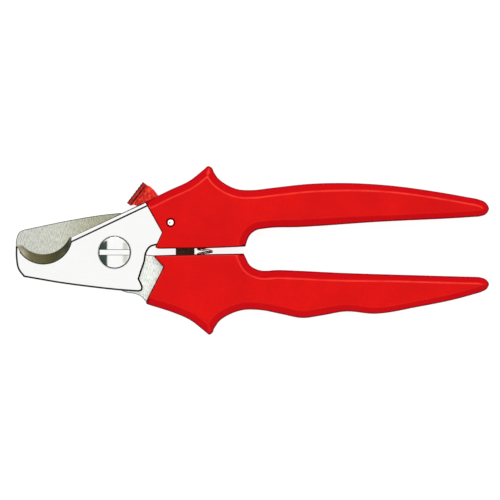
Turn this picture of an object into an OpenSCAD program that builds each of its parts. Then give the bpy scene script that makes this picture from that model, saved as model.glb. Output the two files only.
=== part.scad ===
// Scissor nail clipper: two stainless blades on a slotted screw, two moulded handles,
// a coil spring that opens them and a catch that holds them shut.
// It lies flat: +X runs from the blades to the grips, +Y across the handles, +Z up.
// The outlines are drawn about the pivot, then shifted so that the origin is at the
// middle of the base.

/* [Blades] */
// Distance from the pivot to the blade tips
blade_reach = 39.7; // [38:0.1:42]
// Thickness of each blade
blade_t = 3; // [2.6:0.1:3.2]
// Height of the plane in which the two blades meet
shear_z = 6; // [5.8:0.1:6.2]
// Radius of the ground claw notch in the front blade
notch_r = 11.5; // [11:0.1:12]

/* [Handles] */
// Distance from the pivot to the ends of the grips
handle_reach = 149.8; // [140:1:160]
// Thickness of the moulded handles
handle_t = 12; // [11.6:0.1:13]
// Width of the rounded edge along the outside of the handles
edge_w = 0.8; // [0.4:0.1:1]
// Depth of that rounded edge
edge_h = 1.3; // [0.8:0.1:1.8]

/* [Pivot] */
// Diameter of the screw's shank
shank_d = 6; // [5:0.5:7]
// Diameter of the screw's head
head_d = 13; // [12:0.5:13.5]
// Width of the slot in the head
slot_w = 2; // [1.6:0.1:2.4]
// Running clearance round the shank, on the radius
running_gap = 0.05; // [0.02:0.01:0.1]

/* [Catch] */
// Diameter of the catch's pin
catch_pin_d = 2.7; // [2.4:0.1:3]
// Height of the lever plate
lever_t = 2.8; // [2.4:0.1:3]
// Width of the thumb pad across the handle
pad_w = 9.6; // [8:0.2:10]
// Number of ribs on the thumb pad
pad_ribs = 7; // [4:1:9]

/* [Spring] */
// Outside diameter of the opening spring
spring_d = 6.6; // [6:0.1:7]
// Diameter of its wire
wire_d = 1; // [0.8:0.1:1.1]
// Number of turns
spring_turns = 8; // [6:1:9]

/* [Hidden] */
$fn = 96;

red = [0.86, 0.07, 0.08];
tab_red = [0.72, 0.12, 0.08];
polished = [0.90, 0.90, 0.91];
brushed = [0.74, 0.74, 0.71];
steel = [0.60, 0.60, 0.60];
dark_steel = [0.35, 0.32, 0.30];

// Highest and lowest points of the two guards, which set the middle of the base.
guard_top = 34.5;
guard_low = -33;
centre = [(handle_reach - blade_reach) / 2, (guard_top + guard_low) / 2, 0];

// A hair between the sliding faces, and one between the fixed ones.
slide_gap = 0.04;
fit_gap = 0.02;
skin = 0.01;
through = 40;

front_z = shear_z + slide_gap / 2;
rear_z = shear_z - slide_gap / 2 - blade_t;
shank_r = shank_d / 2;
head_r = head_d / 2;

// The catch turns on a pin behind the front end of the upper handle.
catch_at = [22.5, 11.9];
pin_r = catch_pin_d / 2;
lever_z = 2.6;
slot_z = 2.2;

// The spring stands across the gap between the two handle bodies.
spring_x = 36.2;
spring_low = -7;
spring_high = 7.7;
pocket_r = spring_d / 2 + 0.2;

// ---------------------------------------------------------------- outlines

// Unit tangent of a smooth curve at one of its knots, weighted by the stretches beside it.
function tangent(k, i) =
    i == 0 ? (k[1] - k[0]) / norm(k[1] - k[0]) :
    i == len(k) - 1 ? (k[i] - k[i - 1]) / norm(k[i] - k[i - 1]) :
    let (a = k[i] - k[i - 1], b = k[i + 1] - k[i], la = norm(a), lb = norm(b))
    (a * lb / la + b * la / lb) / (la + lb);

// Point at u (0 to 1) of the cubic from knot i to the next.
function on_curve(k, i, u) =
    let (l = norm(k[i + 1] - k[i]))
    (2 * u^3 - 3 * u^2 + 1) * k[i] + (u^3 - 2 * u^2 + u) * l * tangent(k, i)
    + (3 * u^2 - 2 * u^3) * k[i + 1] + (u^3 - u^2) * l * tangent(k, i + 1);

// A smooth curve through the knots, short of the last one, where the next stretch begins.
function smooth(k, steps = 4) =
    [for (i = [0 : len(k) - 2], j = [0 : steps - 1]) on_curve(k, i, j / steps)];

// An outline is a list of stretches, each with its edge width, its steps and its knots.
function outline(runs) = [for (r = runs) each smooth(r[2], r[1])];
function edge_widths(runs) = [for (r = runs, p = smooth(r[2], r[1])) r[0]];

// Below these, two sides count as one line, or as a bend where the width may change.
near_straight = 0.02;
slight_turn = 0.5;

// Moves each side of an anticlockwise outline inwards by its own width.
function inset(p, w) = [
    for (i = [0 : len(p) - 1])
        let (
            before = p[i] - p[(i + len(p) - 1) % len(p)],
            after = p[(i + 1) % len(p)] - p[i],
            m = [-before[1], before[0]] / norm(before),
            n = [-after[1], after[0]] / norm(after),
            a = w[(i + len(w) - 1) % len(w)],
            b = w[i],
            turn = m[0] * n[1] - m[1] * n[0]
        )
        abs(turn) < (a == b ? near_straight : slight_turn)
            ? p[i] + (m + n) / norm(m + n) * (a + b) / 2
            : p[i] + [a * n[1] - b * m[1], b * m[0] - a * n[0]] / turn
];

// The triangles of a skin round a closed or an open row of rings, all with n points.
function skin_faces(rows, n, closed) = [
    for (s = [0 : rows - (closed ? 1 : 2)], i = [0 : n - 1])
        let (here = s * n, there = (s + 1) % rows * n, j = (i + 1) % n)
        each [[here + i, there + i, there + j], [here + i, there + j, here + j]]
];

module plate(points, z, t) {
    translate([0, 0, z]) linear_extrude(t) polygon(points);
}
module disc(at, r, z, t) {
    translate([at[0], at[1], z]) cylinder(r = r, h = t);
}
module in_frame() {
    translate(-centre) children();
}

// ---------------------------------------------------------------- blades

// The straight top edge of the front blade, from the notch to the handle, and the
// shallow relief ground along it.
top_edge_start = [-17.2, 6.1];
top_edge_end = [12, 20];
top_edge_angle = atan2(top_edge_end[1] - top_edge_start[1], top_edge_end[0] - top_edge_start[0]);
relief_w = 1.35;
relief_h = 0.5;
relief_tilt = 6;
blade_steps = 6;

// Centres of the claw notch where it meets the shear plane and where it meets the face.
notch_edge = [11 - blade_reach, 10.7];
notch_face = [11.2 - blade_reach, 6.85];
// The rear blade's matching edge is a wider and shallower arch.
arch_r = 19.6;
arch_edge = [11.3 - blade_reach, -22.6];
arch_face = [11.3 - blade_reach, -18.7];

front_outline = concat(
    smooth([[-blade_reach + 0.1, 2.3], [-blade_reach + 0.1, -1.9], [-blade_reach + 1.1, -7],
            [-36.4, -9.9]], blade_steps),
    smooth([[-36.4, -9.9], [-21.8, -12.4], [-9.8, -14], [2.2, -15.3], [9.5, -15.8]], blade_steps),
    smooth([[9.5, -15.8], [10.9, -15.3], [11.3, -14.1], [10.9, -12.7], [9.9, -10.6]], blade_steps),
    smooth([[9.9, -10.6], [10.7, -8], [12.2, -3.5], [12.8, -0.3], [14.2, 1.9], [17.5, 3]], blade_steps),
    [[17.5, 3], [21.5, 4], [29, 9.6], [43, 10.6], [75, 12.8], [75, 17.5], [30, 21], [17, 20.6]],
    [top_edge_end, top_edge_start, [2.3 - blade_reach, 2.7]]
);

rear_outline = concat(
    smooth([[-36.2, 9.1], [-38.3, 8.1], [-blade_reach + 0.4, 6.1], [-blade_reach, 2.1],
            [-blade_reach + 0.3, -2], [1.1 - blade_reach, -6.8]], blade_steps),
    smooth([[1.1 - blade_reach, -6.8], [-17.2, -7.4]], 1),
    smooth([[-17.2, -7.4], [-8, -11.6], [0, -14.2], [4.6, -16.1], [8.2, -16.7], [10.2, -17.5],
            [12.6, -19.9]], blade_steps),
    [[12.6, -19.9], [17, -20.3], [30, -20.5], [42, -19.5], [75, -17], [75, -12.5], [42, -9.5], [30, -8.9],
     [23.5, -7.3], [20, -7.3], [20, -3.7], [21.6, -3.7], [21.6, -1.9], [17, -1.9], [15.4, -1.25]],
    smooth([[12.7, -1], [12.3, 1], [11.5, 6], [8, 12], [2.4, 15.8]], blade_steps),
    smooth([[2.4, 15.8], [-5.8, 14.9], [-17.8, 12.9], [-36.2, 9.1]], blade_steps)
);

// A slanting cutter between two discs, for the hollow-ground notches.
module hollow_grind(low_at, low_z, high_at, high_z, r) {
    hull() {
        disc(low_at, r, low_z, skin);
        disc(high_at, r, high_z, skin);
    }
}

module front_blade() {
    rise = blade_t + 2 * skin;
    color(polished)
    in_frame()
    difference() {
        plate(front_outline, front_z, blade_t);
        hollow_grind(notch_edge, front_z - skin, notch_face, front_z + rise, notch_r);
        translate([top_edge_start[0], top_edge_start[1], front_z + blade_t - relief_h])
            rotate([-relief_tilt, 0, top_edge_angle])
            translate([-relief_w, -relief_w, 0])
            cube([norm(top_edge_end - top_edge_start) + 2 * relief_w, 2 * relief_w, blade_t]);
        disc([0, 0], shank_r + fit_gap, 0, through);
        disc([0, 0], head_r + 0.15, front_z + blade_t - head_sink, through);
        disc(catch_at, pin_r + fit_gap, 0, through);
    }
}

module rear_blade() {
    color(brushed)
    in_frame()
    difference() {
        plate(rear_outline, rear_z, blade_t);
        hollow_grind(arch_face, rear_z - skin, arch_edge, rear_z + blade_t + skin, arch_r);
        disc([0, 0], shank_r + running_gap, 0, through);
    }
}

// ---------------------------------------------------------------- pivot

head_sink = 1.4;
head_rise = 0.6;
head_crown_r = 38;
head_top = front_z + blade_t + head_rise;
head_low = front_z + blade_t - head_sink + fit_gap;
slot_depth = 1;
nut_t = 1.8;
nut_d = 11.5;
shank_end = 0.4;
washer_t = 0.5;
washer_dish = 0.15;
nut_top = rear_z - washer_t - washer_dish - 2 * fit_gap;

// How far the crowned head has dropped below its top at a given radius.
function crown_drop(r) = head_crown_r - sqrt(head_crown_r^2 - r^2);

module pivot_screw() {
    crown = [for (i = [8 : -1 : 0]) [head_r * i / 8, head_top - crown_drop(head_r * i / 8)]];
    color(polished)
    in_frame()
    difference() {
        rotate_extrude()
            polygon(concat(
                [[0, shank_end], [shank_r - 0.4, shank_end], [shank_r, shank_end + 0.4],
                 [shank_r, head_low], [head_r, head_low]],
                crown
            ));
        translate([-head_r - 1, -slot_w / 2, head_top - slot_depth])
            cube([2 * head_r + 2, slot_w, through]);
    }
}

module pivot_spring_washer() {
    low = nut_top + fit_gap;
    color(steel)
    in_frame()
    rotate_extrude()
        polygon([[shank_r + fit_gap, low + washer_dish], [5.8, low], [5.8, low + washer_t],
                 [shank_r + fit_gap, low + washer_dish + washer_t]]);
}

module pivot_nut() {
    color(steel)
    in_frame()
    difference() {
        translate([0, 0, nut_top - nut_t]) cylinder(d = nut_d, h = nut_t, $fn = 6);
        disc([0, 0], shank_r + fit_gap, 0, through);
    }
}

// ---------------------------------------------------------------- handles

// The grips are drawn by their fraction of the length from the guard's root to the end.
grip_start = 54.2;
function grip(f, y) = [grip_start + f * (handle_reach - grip_start), y];

// Each stretch: [width of the rounded edge, steps between knots, knots].
cut_w = 0.2;
tip_w = 0.5 * edge_w;
upper_runs = [
    [cut_w, 1, [[12.2, 20.05], [19, 7.9]]],
    [cut_w, 1, [[19, 7.9], [16.3, 2.1]]],
    [cut_w, 1, [[16.3, 2.1], [17.2, 1.5]]],
    [cut_w, 2, [[17.2, 1.5], [28, 1.5], [39.4, 1.7], [52.4, 2.3]]],
    [edge_w, 4, [[52.4, 2.3], [52.8, 3.8], [54.2, 6.9], [57, 8.95], grip(0.06, 9.5),
                 grip(0.21, 10.1), grip(0.54, 12.2), grip(0.88, 13.8), grip(0.96, 14.3)]],
    [edge_w, 4, [grip(0.96, 14.3), grip(0.985, 15.1), grip(1, 17.4), grip(0.985, 20),
                 grip(0.95, 21.4)]],
    [edge_w, 4, [grip(0.95, 21.4), grip(0.79, 24.1), grip(0.6, 26.6), grip(0.42, 27.7),
                 grip(0.25, 27.4), grip(0.1, 25.9), [54.2, 24.9], [49.5, 25.2], [45, 27],
                 [41.3, 29.8], [39.8, 32]]],
    [tip_w, 4, [[39.8, 32], [38.9, 33.9], [37.4, guard_top], [36, 33.4]]],
    [edge_w, 4, [[36, 33.4], [30.2, 28.8], [22, 24.9], [12.2, 20.05]]],
];
lower_runs = [
    [cut_w, 2, [[51.7, -0.5], [39.4, -0.7], [16.6, -1.2], [15.4, -1.25]]],
    [cut_w, 1, [[15.4, -1.25], [19.6, -5.9]]],
    [cut_w, 1, [[19.6, -5.9], [12.6, -19.7]]],
    [cut_w, 2, [[12.6, -19.7], [12.7, -20.5], [13.6, -21]]],
    [edge_w, 4, [[13.6, -21], [18.2, -22.4], [24.2, -24.4], [30.2, -27.1], [36.3, -31.8]]],
    [tip_w, 4, [[36.3, -31.8], [38, guard_low], [39.2, -32.2], [39.8, -30.6]]],
    [edge_w, 4, [[39.8, -30.6], [42, -27.5], [46.2, -24.8], [51, -23.2], grip(0.04, -23.1),
                 grip(0.13, -24.7), grip(0.22, -26.3), grip(0.3, -25.3), grip(0.4, -23.7),
                 grip(0.52, -24.6), grip(0.7, -21.9), grip(0.88, -18.3), grip(0.965, -16)]],
    [edge_w, 4, [grip(0.965, -16), grip(0.99, -14.7), grip(1, -12.6), grip(0.985, -10.7),
                 grip(0.96, -9.9)]],
    [edge_w, 4, [grip(0.96, -9.9), grip(0.7, -9.2), grip(0.4, -8.3), grip(0.12, -7.1),
                 [57.2, -6.95], [54.2, -5.2], [52.6, -2.4], [51.7, -0.5]]],
];

// The sloping edge of one side: a three-sided bar that follows the outline.
module edge_band(full, face) {
    n = len(full);
    polyhedron(
        [for (i = [0 : n - 1]) each [
            [full[i][0], full[i][1], edge_h],
            [face[i][0], face[i][1], 0],
            [face[i][0], face[i][1], edge_h]
        ]],
        skin_faces(n, 3, true),
        convexity = 8
    );
}

module handle_body(runs) {
    full = outline(runs);
    face = inset(full, edge_widths(runs));
    plate(full, edge_h, handle_t - 2 * edge_h);
    plate(face, 0, handle_t);
    edge_band(full, face);
    translate([0, 0, handle_t]) mirror([0, 0, 1]) edge_band(full, face);
}

module spring_pocket() {
    translate([spring_x, spring_low, shear_z])
        rotate([-90, 0, 0])
        cylinder(r = pocket_r, h = spring_high - spring_low);
}

// Room for the lever and its swing, in the back half of the upper handle.
module lever_room() {
    t = front_z - slot_z;
    disc(catch_at, 4.7, slot_z, t);
    plate([[10, 16.6], [13, 16.9], [18, 9.6], [26.6, 9.6], [22, 26.5], [10, 26.5]], slot_z, t);
    plate([[18.4, 9.6], [22, 5], [22, 0], [33.2, 0], [33.2, 3.4], [27.2, 12]], slot_z, t);
}

module foot_room() {
    plate([[20, 0], [33.2, 0], [33.2, -8.4], [20, -8.4]], slot_z, shear_z - slot_z);
}

pin_ring_r = 1.85;
pin_ring_depth = 0.6;
back_recess_r = 3;
back_recess_depth = 1;

module upper_handle() {
    color(red)
    in_frame()
    difference() {
        handle_body(upper_runs);
        plate(front_outline, front_z, blade_t);
        lever_room();
        spring_pocket();
        disc(catch_at, pin_r + fit_gap, 0, through);
        disc(catch_at, pin_ring_r, handle_t - pin_ring_depth, through);
        disc(catch_at, back_recess_r, -skin, back_recess_depth + skin);
    }
}

module lower_handle() {
    color(red)
    in_frame()
    difference() {
        handle_body(lower_runs);
        plate(rear_outline, rear_z, blade_t);
        foot_room();
        spring_pocket();
    }
}

// ---------------------------------------------------------------- catch

boss_r = 4.2;
tongue_t = 1.4;
tongue_z = lever_z + (lever_t - tongue_t) / 2;
tongue = [[14.5, 18.3], [9.6, 22.2], [11.8, 25], [17.2, 20.9]];
foot = [[18.9, 9.7], [24.4, 3.5], [24.4, -3.7], [23.2, -4.3], [23.2, -6.7], [30, -6.7],
        [31.9, -5.6], [31.9, 2.4], [26.6, 11]];
arm = [[18.4, 11], [13.2, 18.2], [16.6, 22.4], [25.6, 14.8]];

module catch_lever() {
    color(dark_steel)
    in_frame()
    difference() {
        union() {
            disc(catch_at, boss_r, lever_z, lever_t);
            plate(foot, lever_z, lever_t);
            difference() {
                plate(arm, lever_z, lever_t);
                pad_web(slot_z);
            }
            plate(tongue, tongue_z, tongue_t);
        }
        disc(catch_at, pin_r + running_gap, 0, through);
    }
}

// The pad's web follows the lever's end over the edge of the handle.
web = [[7.3, 19.9], [8, 18.9], [9, 18.5], [12.4, 19.4], [15.2, 20.9], [17.6, 22.4], [17, 23.3], [15.8, 24.9],
       [14.2, 26.4], [12.2, 27.3]];
web_t = 3.4;
module pad_web(z) {
    plate(web, z + 0.15, web_t);
}

// The ribbed face runs between these two ends.
pad_top = [11.3, 28.2];
pad_low = [4.9, 19.8];
pad_depth = 2.2;
rib_h = 0.5;
module catch_thumb_pad() {
    along = (pad_low - pad_top) / norm(pad_low - pad_top);
    back = [-along[1], along[0]];
    ribs = [for (i = [0 : pad_ribs * 2 - 1])
        pad_top + (pad_low - pad_top) * i / (pad_ribs * 2 - 1) + back * (i % 2) * rib_h];
    heel = [pad_low + back * pad_depth * 0.8, pad_low + back * (pad_depth + 0.4) - along,
            pad_top + back * pad_depth];
    color(tab_red)
    in_frame()
    difference() {
        union() {
            plate(concat(ribs, heel), (handle_t - pad_w) / 2, pad_w);
            pad_web(slot_z);
        }
        plate(tongue, tongue_z, tongue_t);
    }
}

module catch_pin() {
    head_z = handle_t - 0.2;
    dome = 0.35;
    color(polished)
    in_frame()
    translate([catch_at[0], catch_at[1], 0])
        rotate_extrude()
        polygon(concat(
            [[0, 0.15], [1.5, 0.15], [1.9, 0.4], [pin_r, 0.4]],
            [for (a = [0 : 15 : 90]) [pin_r * cos(a), head_z - dome + dome * sin(a)]]
        ));
}

module catch_pin_washer() {
    color(steel)
    in_frame()
    difference() {
        disc(catch_at, back_recess_r - 0.1, 0.42, 0.5);
        disc(catch_at, pin_r + fit_gap, 0, through);
    }
}

module catch_friction_washer() {
    color(steel)
    in_frame()
    difference() {
        disc(catch_at, 3.8, lever_z + lever_t + 0.1, 0.4);
        disc(catch_at, pin_r + fit_gap, 0, through);
    }
}

// ---------------------------------------------------------------- spring

// Wire swept along a helix about an upright line, with a ring of points at every step.
module coil(length, r, wire_r, turns) {
    steps = 14 * turns;
    sides = 8;
    rise = length - 2 * wire_r;
    polyhedron(
        [for (s = [0 : steps], i = [0 : sides - 1])
            let (
                a = 360 * turns * s / steps,
                b = -360 * i / sides,
                q = r + wire_r * cos(b)
            )
            [q * cos(a), q * sin(a), wire_r + rise * s / steps + wire_r * sin(b)]],
        concat(
            [[for (i = [0 : sides - 1]) i]],
            [[for (i = [sides - 1 : -1 : 0]) steps * sides + i]],
            skin_faces(steps + 1, sides, false)
        ),
        convexity = 8
    );
}

module opening_spring() {
    wire_r = wire_d / 2;
    color(steel)
    in_frame()
    translate([spring_x, spring_low + fit_gap, shear_z])
        rotate([-90, 0, 0])
        coil(spring_high - spring_low - 2 * fit_gap, spring_d / 2 - wire_r, wire_r, spring_turns);
}

front_blade();
rear_blade();
pivot_screw();
pivot_spring_washer();
pivot_nut();
upper_handle();
lower_handle();
catch_lever();
catch_thumb_pad();
catch_pin();
catch_friction_washer();
catch_pin_washer();
opening_spring();
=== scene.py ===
"""Looks of a scissor nail clipper: red moulded grips on polished and brushed steel blades."""
import math

import bmesh
import bpy
import numpy as np
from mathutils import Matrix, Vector
from mathutils.geometry import delaunay_2d_cdt


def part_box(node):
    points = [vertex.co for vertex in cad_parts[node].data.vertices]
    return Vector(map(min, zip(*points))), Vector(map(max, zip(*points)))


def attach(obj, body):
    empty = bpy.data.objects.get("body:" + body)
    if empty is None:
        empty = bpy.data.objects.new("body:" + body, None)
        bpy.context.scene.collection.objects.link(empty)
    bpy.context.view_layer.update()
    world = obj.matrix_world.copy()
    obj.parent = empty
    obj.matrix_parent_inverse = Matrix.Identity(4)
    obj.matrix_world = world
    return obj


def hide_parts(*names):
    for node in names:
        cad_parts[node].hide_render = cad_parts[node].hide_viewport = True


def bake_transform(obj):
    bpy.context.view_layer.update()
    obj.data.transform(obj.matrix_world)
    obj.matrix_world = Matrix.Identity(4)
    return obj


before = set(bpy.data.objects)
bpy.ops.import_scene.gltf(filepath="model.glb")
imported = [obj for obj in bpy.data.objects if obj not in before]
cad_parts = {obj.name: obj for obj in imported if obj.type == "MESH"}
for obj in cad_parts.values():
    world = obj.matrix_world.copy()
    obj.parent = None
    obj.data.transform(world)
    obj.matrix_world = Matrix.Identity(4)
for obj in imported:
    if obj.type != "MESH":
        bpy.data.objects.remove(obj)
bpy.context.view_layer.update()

MM = 0.001

# Lengths are in millimetres from here on, unless a comment says otherwise.
HANDLE_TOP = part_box("upper_handle")[1].z / MM
MIDDLE = HANDLE_TOP / 2
BLADE_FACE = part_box("front_blade")[1].z / MM


def centre_of(node):
    """The middle of a CAD node's box, seen from above, in millimetres."""
    low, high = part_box(node)
    return np.array([(low.x + high.x) / 2, (low.y + high.y) / 2]) / MM


PIVOT = centre_of("pivot_screw")
CATCH = centre_of("catch_pin")


def from_pivot(x, y):
    """Where a place given from the blades' pivot is in the shared frame."""
    return np.array([x, y]) + PIVOT


# ------------ material helpers
# Wherever a helper takes mat, it may also be the world, which has nodes of its own.

def add_node(mat, kind):
    return mat.node_tree.nodes.new("ShaderNode" + kind)


def link(mat, output, socket):
    mat.node_tree.links.new(output, socket)


def new_material(name, metallic=0.0, specular=0.5):
    """A material with nothing but its shader."""
    mat = bpy.data.materials.new(name)
    mat.use_nodes = True
    mat.node_tree.nodes.clear()
    bsdf = add_node(mat, "BsdfPrincipled")
    link(mat, bsdf.outputs["BSDF"], add_node(mat, "OutputMaterial").inputs["Surface"])
    bsdf.inputs["Metallic"].default_value = metallic
    bsdf.inputs["Specular IOR Level"].default_value = specular
    return mat, bsdf


def millimetres(mat, scale=(1, 1, 1), angle=0):
    """Object coordinates in millimetres, squeezed or turned about Z as asked."""
    coords = add_node(mat, "TexCoord")
    mapping = add_node(mat, "Mapping")
    mapping.inputs["Scale"].default_value = [s / MM for s in scale]
    mapping.inputs["Rotation"].default_value = (0, 0, math.radians(angle))
    link(mat, coords.outputs["Object"], mapping.inputs["Vector"])
    return mapping.outputs["Vector"]


def parts_of(mat, vector):
    """The X, Y and Z parts of a vector."""
    split = add_node(mat, "SeparateXYZ")
    link(mat, vector, split.inputs["Vector"])
    return split.outputs


def noise(mat, vector, scale, detail, roughness=0.55):
    node = add_node(mat, "TexNoise")
    node.inputs["Scale"].default_value = scale
    node.inputs["Detail"].default_value = detail
    node.inputs["Roughness"].default_value = roughness
    link(mat, vector, node.inputs["Vector"])
    return node.outputs["Fac"]


def ramp(mat, fac, stops):
    """Colour by value: stops are (position, (r, g, b))."""
    node = add_node(mat, "ValToRGB")
    elements = node.color_ramp.elements
    while len(elements) < len(stops):
        elements.new(0.5)
    for element, (position, colour) in zip(elements, stops):
        element.position = position
        element.color = (*colour, 1)
    link(mat, fac, node.inputs["Fac"])
    return node.outputs["Color"]


def remap(mat, fac, low, high, to_low, to_high):
    """Carries low..high over to to_low..to_high, and holds there beyond."""
    node = add_node(mat, "MapRange")
    node.inputs["From Min"].default_value = low
    node.inputs["From Max"].default_value = high
    node.inputs["To Min"].default_value = to_low
    node.inputs["To Max"].default_value = to_high
    link(mat, fac, node.inputs["Value"])
    return node.outputs["Result"]


def blend_colours(mat, fac, first, second, mode="MIX"):
    """Mixes two colours; fac, first and second are outputs, numbers or colours."""
    node = add_node(mat, "Mix")
    node.data_type = "RGBA"
    node.blend_type = mode
    for socket, value in ((node.inputs[0], fac), (node.inputs[6], first), (node.inputs[7], second)):
        if isinstance(value, bpy.types.NodeSocket):
            link(mat, value, socket)
        elif isinstance(value, (int, float)):
            socket.default_value = value
        else:
            socket.default_value = (*value, 1)
    return node.outputs[2]


def combine(mat, operation, first, second):
    """Arithmetic on two values; first and second are outputs or numbers."""
    node = add_node(mat, "Math")
    node.operation = operation
    for socket, value in zip(node.inputs, (first, second)):
        if isinstance(value, bpy.types.NodeSocket):
            link(mat, value, socket)
        else:
            socket.default_value = value
    return node.outputs[0]


def product(mat, *values):
    result = values[0]
    for value in values[1:]:
        result = combine(mat, "MULTIPLY", result, value)
    return result


def dress(mat, bsdf, tint, rough, relief, depth):
    """Joins colour, roughness and relief to the shader; rough is an output or a number."""
    link(mat, tint, bsdf.inputs["Base Color"])
    if isinstance(rough, bpy.types.NodeSocket):
        link(mat, rough, bsdf.inputs["Roughness"])
    else:
        bsdf.inputs["Roughness"].default_value = rough
    node = add_node(mat, "Bump")
    node.inputs["Strength"].default_value = 1.0
    node.inputs["Distance"].default_value = depth * MM
    link(mat, relief, node.inputs["Height"])
    link(mat, node.outputs["Normal"], bsdf.inputs["Normal"])


# ------------ materials

# The two ends of the thumb pad's ribbed face, from the pivot.
PAD_TOP = np.array([11.3, 28.2])
PAD_LOW = np.array([4.9, 19.8])
PAD_ALONG = (PAD_LOW - PAD_TOP) / np.linalg.norm(PAD_LOW - PAD_TOP)
PAD_BACK = np.array([-PAD_ALONG[1], PAD_ALONG[0]])
# The stretches of X over which the blades change their colour.
REAR_BLADE_X = -95, -45
CRESCENT_X = -93, -72
RED = (0.70, 0.0022, 0.0006)
DARK_RED = (0.58, 0.0003, 0.0010)
# The crest lines' red: partly wear, partly a painted highlight.
WORN_AND_LIT_RED = (0.86, 0.035, 0.016)
# Painted shade of the sloping borders.
SHADED_BORDER_RED = (0.57, 0.0001, 0.006)
# Painted shade of the rounded rims.
EDGE_SHADE_RED = (0.16, 0.0, 0.002)
# Painted shade along the cut edges, between the parts.
RIM_SHADE_RED = (0.16, 0.002, 0.002)
RIM_SHADE_BROWN = (0.07, 0.001, 0.001)
# The pad's dark and orange streaks are painted reflections and highlights.
PAD_DARK = (0.42, 0.002, 0.003)
PAD_RED = (0.78, 0.010, 0.006)
PAD_GLINT_ORANGE = (1.0, 0.10, 0.03)
# Painted shade on the band behind the pad's ribs.
PAD_SHADE_RED = (0.17, 0.002, 0.002)


def facing(mat):
    """The surface's own direction: its X, Y and Z parts, which turn with the piece."""
    return parts_of(mat, add_node(mat, "TexCoord").outputs["Normal"])


def upright(mat):
    """1 where the surface looks straight up or down, 0 on the walls."""
    return combine(mat, "ABSOLUTE", facing(mat)["Z"], 0)


def crest_wear_and_highlight(mat, even):
    """Light lines where the faces turn over into the sloping borders: partly rubbed wear, partly a
    painted highlight that is much stronger on the sides facing +Y.
    """
    up = upright(mat)
    leaving_flat = remap(mat, up, 0.995, 0.98, 0, 1)
    before_slope = remap(mat, up, 0.86, 0.92, 0, 1)
    side = remap(mat, facing(mat)["Y"], -0.05, 0.15, 0.12, 1)
    patchy = remap(mat, noise(mat, even, 0.2, 3), 0.3, 0.6, 0.4, 0.9)
    return product(mat, leaving_flat, before_slope, side, patchy)


def slope_shade(mat):
    """Painted shade: the sloping borders are darker than the flat faces."""
    return remap(mat, upright(mat), 0.88, 0.85, 0, 0.6)


def edge_shade(mat):
    """Painted shade on the rounded rims, between the borders and the side walls, deeper on the sides
    facing -Y.
    """
    up = upright(mat)
    below = remap(mat, up, 0.83, 0.76, 0, 1)
    above = remap(mat, up, 0.05, 0.25, 0, 1)
    side = remap(mat, facing(mat)["Y"], -0.2, 0.2, 0.95, 0.6)
    return product(mat, below, above, side)


def red_plastic():
    """Moulded nylon: fine orange peel, slow colour drift, faint scuffs."""
    mat, bsdf = new_material("red_handle", specular=0.085)
    even = millimetres(mat)
    tint = ramp(mat, noise(mat, even, 0.06, 3), [(0.3, DARK_RED), (0.7, RED)])
    mottle = remap(mat, noise(mat, even, 0.9, 4, 0.65), 0.42, 0.62, 0, 0.45)
    tint = blend_colours(mat, mottle, tint, DARK_RED)
    specks = remap(mat, noise(mat, even, 3.2, 2), 0.66, 0.78, 0, 0.25)
    tint = blend_colours(mat, specks, tint, DARK_RED)
    # Crest lines: partly wear, partly a painted highlight on the +Y sides.
    tint = blend_colours(mat, crest_wear_and_highlight(mat, even), tint, WORN_AND_LIT_RED)
    # Painted shade on the sloping borders.
    tint = blend_colours(mat, slope_shade(mat), tint, SHADED_BORDER_RED)
    # Painted shade on the rounded rims.
    tint = blend_colours(mat, edge_shade(mat), tint, EDGE_SHADE_RED)
    scuffs = noise(mat, millimetres(mat, (0.05, 1.6, 0.5), 9), 1.1, 4)
    rough = remap(mat, scuffs, 0.35, 0.75, 0.29, 0.46)
    fine = product(mat, noise(mat, even, 6.0, 2), 0.3)
    peel = combine(mat, "ADD", noise(mat, even, 1.5, 3), fine)
    dress(mat, bsdf, tint, rough, peel, 0.010)
    return mat


def rim_plastic():
    """The same nylon in painted shade, along the short cut edges that face the blades and each other.
    """
    mat, bsdf = new_material("red_rim", specular=0.06)
    even = millimetres(mat)
    tint = ramp(mat, noise(mat, even, 0.5, 3), [(0.35, RIM_SHADE_BROWN), (0.65, RIM_SHADE_RED)])
    dress(mat, bsdf, tint, 0.6, noise(mat, even, 2.0, 3), 0.01)
    return mat


def pad_plastic():
    """The thumb pad's softer, glossier red, streaked with painted orange highlights and dark
    reflections, with painted shade on the band just behind the ribs.
    """
    mat, bsdf = new_material("red_pad", specular=0.22)
    even = millimetres(mat)
    cloud = noise(mat, even, 0.9, 4, 0.6)
    # Random streaks of dark red and orange: painted dark reflections and highlights.
    tint = ramp(mat, cloud, [(0.32, PAD_DARK), (0.5, PAD_RED), (0.66, PAD_GLINT_ORANGE)])
    parts = parts_of(mat, even)
    across, along = product(mat, parts["X"], PAD_BACK[0]), product(mat, parts["Y"], PAD_BACK[1])
    depth = combine(mat, "ADD", across, along)
    face = np.dot(PAD_BACK, from_pivot(*PAD_TOP))
    # Painted shade, darkest just behind the ribs and gone by the groove.
    shaded_band = remap(mat, depth, face + 0.4, face + 2.3, 1, 0)
    tint = blend_colours(mat, shaded_band, tint, PAD_SHADE_RED)
    rough = remap(mat, noise(mat, even, 2.5, 3), 0.3, 0.7, 0.16, 0.34)
    dress(mat, bsdf, tint, rough, noise(mat, even, 2.2, 3), 0.02)
    return mat


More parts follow.
